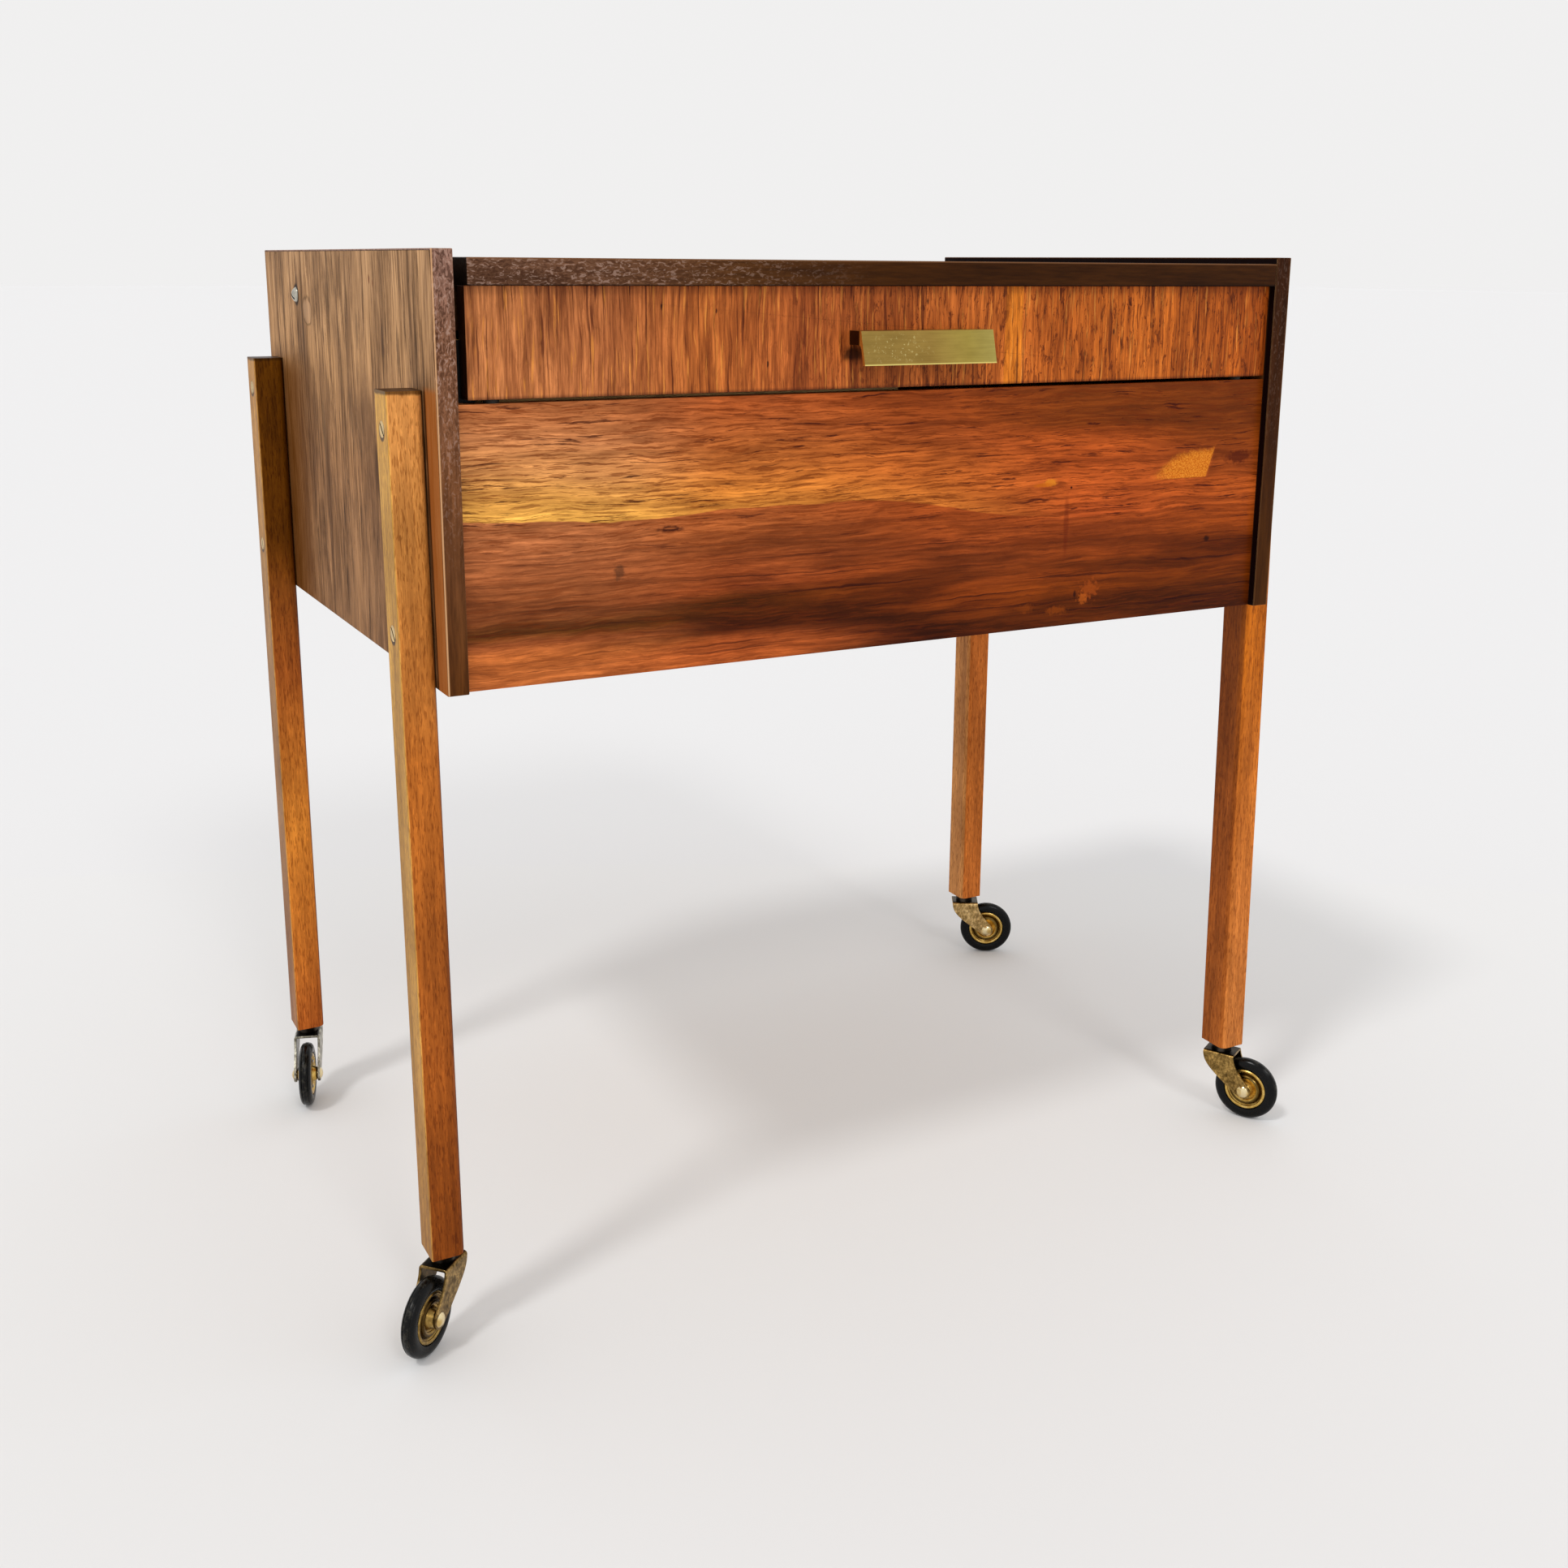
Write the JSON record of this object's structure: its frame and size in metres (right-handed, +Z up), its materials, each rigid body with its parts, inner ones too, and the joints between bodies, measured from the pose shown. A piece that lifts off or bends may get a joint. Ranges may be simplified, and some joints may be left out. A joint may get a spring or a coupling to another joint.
{
  "type": "sewing cart",
  "caption": "Walnut-veneered sewing box on slim wooden legs with swivel casters, with a pivoting lid, a brass lip pull and sliding trays over a deep compartment.",
  "frame": {"origin": "on the floor, below the middle of the whole outline", "axes": "+Z up; +Y from the front with the pull to the back; +X to the right seen from the front"},
  "size_m": [0.6386, 0.3946, 0.596],
  "materials": {
    "side_veneer": "satin greyish walnut veneer, grain upright",
    "walnut_veneer": "satin reddish walnut veneer",
    "dark_edging": "satin dark brown edge strip",
    "plywood": "bare plywood",
    "tray_wood": "clear satin light wood",
    "beech": "satin varnished beech",
    "rubber_pad": "matt black rubber",
    "screw_brass": "aged brass",
    "handle_brass": "aged brass with fine scratches",
    "nickel": "worn nickel plate",
    "caster_steel": "blackened steel",
    "fork_metal": "antique brass plate",
    "hub_brass": "bright brass plate",
    "tyre_rubber": "glossy black rubber"
  },
  "bodies": {
    "frame": {"side_left": "side_veneer", "side_right": "side_veneer", "side_left_edging": "dark_edging", "side_right_edging": "dark_edging", "lower_front": "walnut_veneer", "back_panel": "walnut_veneer", "bottom_panel": "plywood", "tray_partition": "tray_wood", "runner_upper_front": "beech", "runner_upper_rear": "beech", "runner_lower_front": "beech", "runner_lower_rear": "beech", "lid_bumpers": "rubber_pad", "leg_front_left": "beech", "leg_rear_left": "beech", "leg_front_right": "beech", "leg_rear_right": "beech", "leg_screws": "screw_brass", "caster_stems": "caster_steel"},
    "lid": {"lid_panel": "walnut_veneer", "lid_edging": "dark_edging", "upper_front": "walnut_veneer", "lid_batten_left": "beech", "lid_batten_right": "beech", "batten_screws": "screw_brass", "handle": "handle_brass", "handle_screws": "nickel", "pivot_screw_left": "nickel", "pivot_screw_right": "nickel", "pivot_spacer_left": "screw_brass", "pivot_spacer_right": "screw_brass"},
    "upper_tray": {"upper_tray_front": "tray_wood", "upper_tray_back": "tray_wood", "upper_tray_left": "tray_wood", "upper_tray_right": "tray_wood", "upper_tray_floor": "plywood", "upper_tray_dividers": "tray_wood"},
    "lower_tray": {"lower_tray_front": "tray_wood", "lower_tray_back": "tray_wood", "lower_tray_left": "tray_wood", "lower_tray_right": "tray_wood", "lower_tray_floor": "plywood", "lower_tray_divider": "tray_wood", "spool_pegs": "beech"},
    "caster_front_left": {"fork_front_left": "fork_metal", "axle_front_left": "hub_brass"},
    "wheel_front_left": {"hub_front_left": "hub_brass", "tyre_front_left": "tyre_rubber"},
    "caster_rear_left": {"fork_rear_left": "fork_metal", "axle_rear_left": "hub_brass"},
    "wheel_rear_left": {"hub_rear_left": "hub_brass", "tyre_rear_left": "tyre_rubber"},
    "caster_front_right": {"fork_front_right": "fork_metal", "axle_front_right": "hub_brass"},
    "wheel_front_right": {"hub_front_right": "hub_brass", "tyre_front_right": "tyre_rubber"},
    "caster_rear_right": {"fork_rear_right": "fork_metal", "axle_rear_right": "hub_brass"},
    "wheel_rear_right": {"hub_rear_right": "hub_brass", "tyre_rear_right": "tyre_rubber"}
  },
  "joints": [
    {"name": "lid_pivot", "type": "hinge", "parent": "frame", "child": "lid", "pos_m": [0, 0.111, 0.5687], "axis": [-1, 0, 0], "range_deg": [0, 110]},
    {"name": "upper_tray_slide", "type": "slide", "parent": "frame", "child": "upper_tray", "axis": [1, 0, 0], "range_m": [0, 0.264]},
    {"name": "lower_tray_slide", "type": "slide", "parent": "frame", "child": "lower_tray", "axis": [-1, 0, 0], "range_m": [0, 0.264]},
    {"name": "swivel_front_left", "type": "hinge", "parent": "frame", "child": "caster_front_left", "pos_m": [-0.2845, -0.15934, 0.05], "axis": [0, 0, 1], "continuous": true},
    {"name": "roll_front_left", "type": "hinge", "parent": "caster_front_left", "child": "wheel_front_left", "pos_m": [-0.29926, -0.17253, 0.0222], "axis": [0.6665, -0.7455, 0], "continuous": true},
    {"name": "swivel_rear_left", "type": "hinge", "parent": "frame", "child": "caster_rear_left", "pos_m": [-0.2845, 0.171, 0.05], "axis": [0, 0, 1], "continuous": true},
    {"name": "roll_rear_left", "type": "hinge", "parent": "caster_rear_left", "child": "wheel_rear_left", "pos_m": [-0.29078, 0.15222, 0.0222], "axis": [0.9483, -0.3173, 0], "continuous": true},
    {"name": "swivel_front_right", "type": "hinge", "parent": "frame", "child": "caster_front_right", "pos_m": [0.2845, -0.15934, 0.05], "axis": [0, 0, 1], "continuous": true},
    {"name": "roll_front_right", "type": "hinge", "parent": "caster_front_right", "child": "wheel_front_right", "pos_m": [0.29422, -0.17658, 0.0222], "axis": [0.8712, 0.4909, 0], "continuous": true},
    {"name": "swivel_rear_right", "type": "hinge", "parent": "frame", "child": "caster_rear_right", "pos_m": [0.2845, 0.171, 0.05], "axis": [0, 0, 1], "continuous": true},
    {"name": "roll_rear_right", "type": "hinge", "parent": "caster_rear_right", "child": "wheel_rear_right", "pos_m": [0.30163, 0.16107, 0.0222], "axis": [0.5015, 0.8652, 0], "continuous": true}
  ]
}
